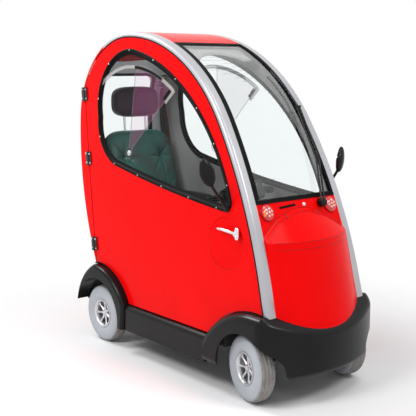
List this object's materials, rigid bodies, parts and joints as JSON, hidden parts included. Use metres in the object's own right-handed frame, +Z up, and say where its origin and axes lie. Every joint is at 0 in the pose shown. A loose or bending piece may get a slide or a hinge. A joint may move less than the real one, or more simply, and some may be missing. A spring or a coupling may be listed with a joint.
{
  "type": "enclosed mobility scooter",
  "caption": "Enclosed mobility scooter: rounded hard cabin with side doors and curved windscreen, on small steered and driven wheels, for one seated rider.",
  "frame": {"origin": "on the floor under the middle of the vehicle's bounding box", "axes": "+X forward, +Y to the rider's left, +Z up"},
  "size_m": [1.64, 0.934, 1.64],
  "materials": {
    "red_paint": "gloss",
    "silver_paint": "satin",
    "black_trim": "gloss",
    "rubber_seal": "matte",
    "clear_glass": "clear",
    "headlamp_lens": "gloss",
    "tail_lens": "gloss",
    "grey_trim": "matte",
    "black_steel": "satin",
    "battery_case": "matte",
    "seat_vinyl": "satin",
    "chrome": "polished",
    "grey_tyre": "matte",
    "alloy": "satin"
  },
  "bodies": {
    "cabin": {"roof_panel": "red_paint", "arches": "silver_paint", "front_cowl": "red_paint", "bonnet": "red_paint", "windscreen": "clear_glass", "windscreen_seal": "rubber_seal", "rear_panel": "red_paint", "rear_window": "clear_glass", "rear_window_seal": "rubber_seal", "bumper_front": "black_trim", "bumper_rear": "black_trim", "sills": "black_trim", "rear_fenders": "black_trim", "headlamps": "headlamp_lens", "tail_lamps": "tail_lens", "wiper": "black_trim", "headliner": "grey_trim", "dash": "grey_trim", "floor_pan": "grey_trim", "chassis_frame": "black_steel", "front_axle_beam": "black_steel", "rear_transaxle": "black_steel", "battery_pack": "battery_case", "seat_pedestal": "black_steel", "seat_cushion": "seat_vinyl", "seat_back": "seat_vinyl", "headrest": "seat_vinyl", "armrests": "seat_vinyl", "tiller_base": "black_trim", "hinge_brackets": "black_steel"},
    "tiller": {"tiller": "black_trim"},
    "tie_rod": {"tie_rod": "black_steel"},
    "knuckle_right": {"knuckle_right": "black_steel"},
    "door_right": {"door_right": "red_paint", "window_seal_right": "rubber_seal", "window_right": "clear_glass", "handle_right": "chrome", "mirror_right": "black_trim", "hinge_leaves_right": "black_steel"},
    "wheel_front_right": {"tyre_front_right": "grey_tyre", "rim_front_right": "alloy"},
    "wheel_rear_right": {"tyre_rear_right": "grey_tyre", "rim_rear_right": "alloy"},
    "knuckle_left": {"knuckle_left": "black_steel"},
    "door_left": {"door_left": "red_paint", "window_seal_left": "rubber_seal", "window_left": "clear_glass", "handle_left": "chrome", "mirror_left": "black_trim", "hinge_leaves_left": "black_steel"},
    "wheel_front_left": {"tyre_front_left": "grey_tyre", "rim_front_left": "alloy"},
    "wheel_rear_left": {"tyre_rear_left": "grey_tyre", "rim_rear_left": "alloy"}
  },
  "joints": [
    {"name": "steer", "type": "hinge", "parent": "cabin", "child": "tiller", "pos_m": [0.47, 0, 0.209], "axis": [-0.3951, 0, 0.9186], "range_deg": [-15.2, 40.8]},
    {"name": "kingpin_right", "type": "hinge", "parent": "cabin", "child": "knuckle_right", "pos_m": [0.591, -0.238, 0.1525], "axis": [0, 0, 1], "range_deg": [-15.2, 40.8]},
    {"name": "kingpin_left", "type": "hinge", "parent": "cabin", "child": "knuckle_left", "pos_m": [0.591, 0.238, 0.1525], "axis": [0, 0, 1], "range_deg": [-15.2, 40.8]},
    {"name": "tie_rod_pivot", "type": "hinge", "parent": "knuckle_right", "child": "tie_rod", "pos_m": [0.53249, -0.22471, 0.1145], "axis": [0, 0, 1], "range_deg": [-40.8, 15.2]},
    {"name": "wheel_front_right_spin", "type": "hinge", "parent": "knuckle_right", "child": "wheel_front_right", "pos_m": [0.57992, -0.28676, 0.1525], "axis": [0.2215, 0.9751, 0], "continuous": true},
    {"name": "wheel_front_left_spin", "type": "hinge", "parent": "knuckle_left", "child": "wheel_front_left", "pos_m": [0.60208, 0.28676, 0.1525], "axis": [0.2215, 0.9751, 0], "continuous": true},
    {"name": "wheel_rear_right_spin", "type": "hinge", "parent": "cabin", "child": "wheel_rear_right", "pos_m": [-0.566, -0.288, 0.1525], "axis": [0, 1, 0], "continuous": true},
    {"name": "wheel_rear_left_spin", "type": "hinge", "parent": "cabin", "child": "wheel_rear_left", "pos_m": [-0.566, 0.288, 0.1525], "axis": [0, 1, 0], "continuous": true},
    {"name": "door_right_hinge", "type": "hinge", "parent": "cabin", "child": "door_right", "pos_m": [-0.644, -0.32061, 0.524], "axis": [0.1492, -0.0414, -0.9879], "range_deg": [0, 70]},
    {"name": "door_left_hinge", "type": "hinge", "parent": "cabin", "child": "door_left", "pos_m": [-0.644, 0.32061, 0.524], "axis": [-0.1492, -0.0414, 0.9879], "range_deg": [0, 70]}
  ],
  "couplings": [
    {"joint": "kingpin_right", "follows": "steer", "ratio": 1},
    {"joint": "kingpin_left", "follows": "steer", "ratio": 1},
    {"joint": "tie_rod_pivot", "follows": "steer", "ratio": -1}
  ]
}
